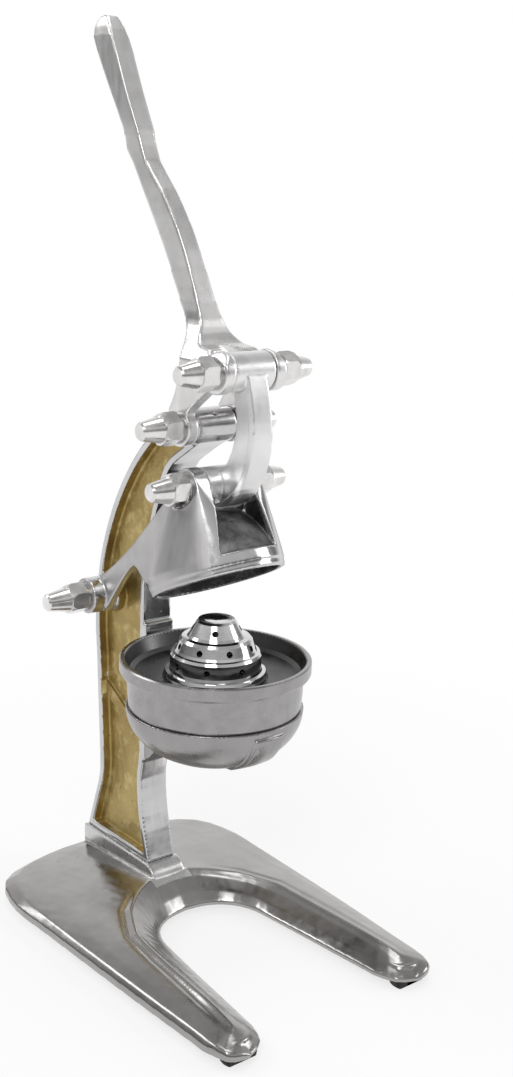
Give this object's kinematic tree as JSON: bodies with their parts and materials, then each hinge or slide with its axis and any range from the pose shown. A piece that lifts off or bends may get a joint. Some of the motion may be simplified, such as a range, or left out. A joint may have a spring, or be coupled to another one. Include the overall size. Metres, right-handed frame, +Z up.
{
  "type": "lever citrus juice press",
  "caption": "Free-standing toggle lever citrus press with a horseshoe base, a column, a cup with a strainer, and a bell lowered by a long hand lever",
  "frame": {"origin": "on the floor, at the centre of the box in plan. The axis of the bowl is 5.5 mm in front of it", "axes": "+Z up, -Y to the open front of the horseshoe base, +X to the right seen from the front, along the pins"},
  "size_m": [0.1852, 0.269, 0.5777],
  "materials": {
    "polished_casting": "polished sand casting",
    "painted_column": "polished flanges, gold paint in the pockets",
    "bright_metal": "turned and polished",
    "rod_steel": "turned steel",
    "dark_steel": "plain steel screws",
    "bearing_brass": "turned bearing bush",
    "black_rubber": "moulded rubber feet"
  },
  "bodies": {
    "stand": {"base": "polished_casting", "rubber_feet": "black_rubber", "foot_screws": "dark_steel", "column": "painted_column", "column_bolts": "dark_steel", "fulcrum_bush": "bearing_brass", "rear_bush": "bearing_brass", "bowl_holder": "polished_casting", "holder_screws": "dark_steel"},
    "press_head": {"press_head": "polished_casting", "rear_rod": "rod_steel", "rear_cap_nuts": "bright_metal", "rear_washers": "rod_steel", "lower_link_rod": "rod_steel", "lower_cap_nuts": "bright_metal", "lower_washers": "rod_steel"},
    "lever": {"hand_lever": "polished_casting", "fulcrum_rod": "rod_steel", "fulcrum_cap_nuts": "bright_metal", "fulcrum_washers": "rod_steel", "upper_link_rod": "rod_steel", "upper_cap_nuts": "bright_metal", "upper_washers": "rod_steel"},
    "link": {"c_link": "polished_casting", "link_bush": "bearing_brass"},
    "cup": {"cup": "bright_metal"},
    "strainer": {"strainer": "bright_metal"}
  },
  "joints": [
    {"name": "lever_swing", "type": "hinge", "parent": "stand", "child": "lever", "pos_m": [0, 0.008, 0.3366], "axis": [1, 0, 0], "range_deg": [0, 63.4]},
    {"name": "head_swing", "type": "hinge", "parent": "stand", "child": "press_head", "pos_m": [0, 0.1005, 0.21], "axis": [1, 0, 0], "range_deg": [0, 26]},
    {"name": "link_swing", "type": "hinge", "parent": "press_head", "child": "link", "pos_m": [0, -0.0029, 0.302], "axis": [1, 0, 0], "range_deg": [-36.5, 0]},
    {"name": "cup_lift", "type": "slide", "parent": "stand", "child": "cup", "axis": [0, 0, 1], "range_m": [0, 0.006]},
    {"name": "strainer_lift", "type": "slide", "parent": "cup", "child": "strainer", "axis": [0, 0, 1], "range_m": [0, 0.004]}
  ],
  "couplings": [
    {"joint": "head_swing", "follows": "lever_swing", "ratio": 0.41},
    {"joint": "link_swing", "follows": "lever_swing", "ratio": -0.575}
  ]
}
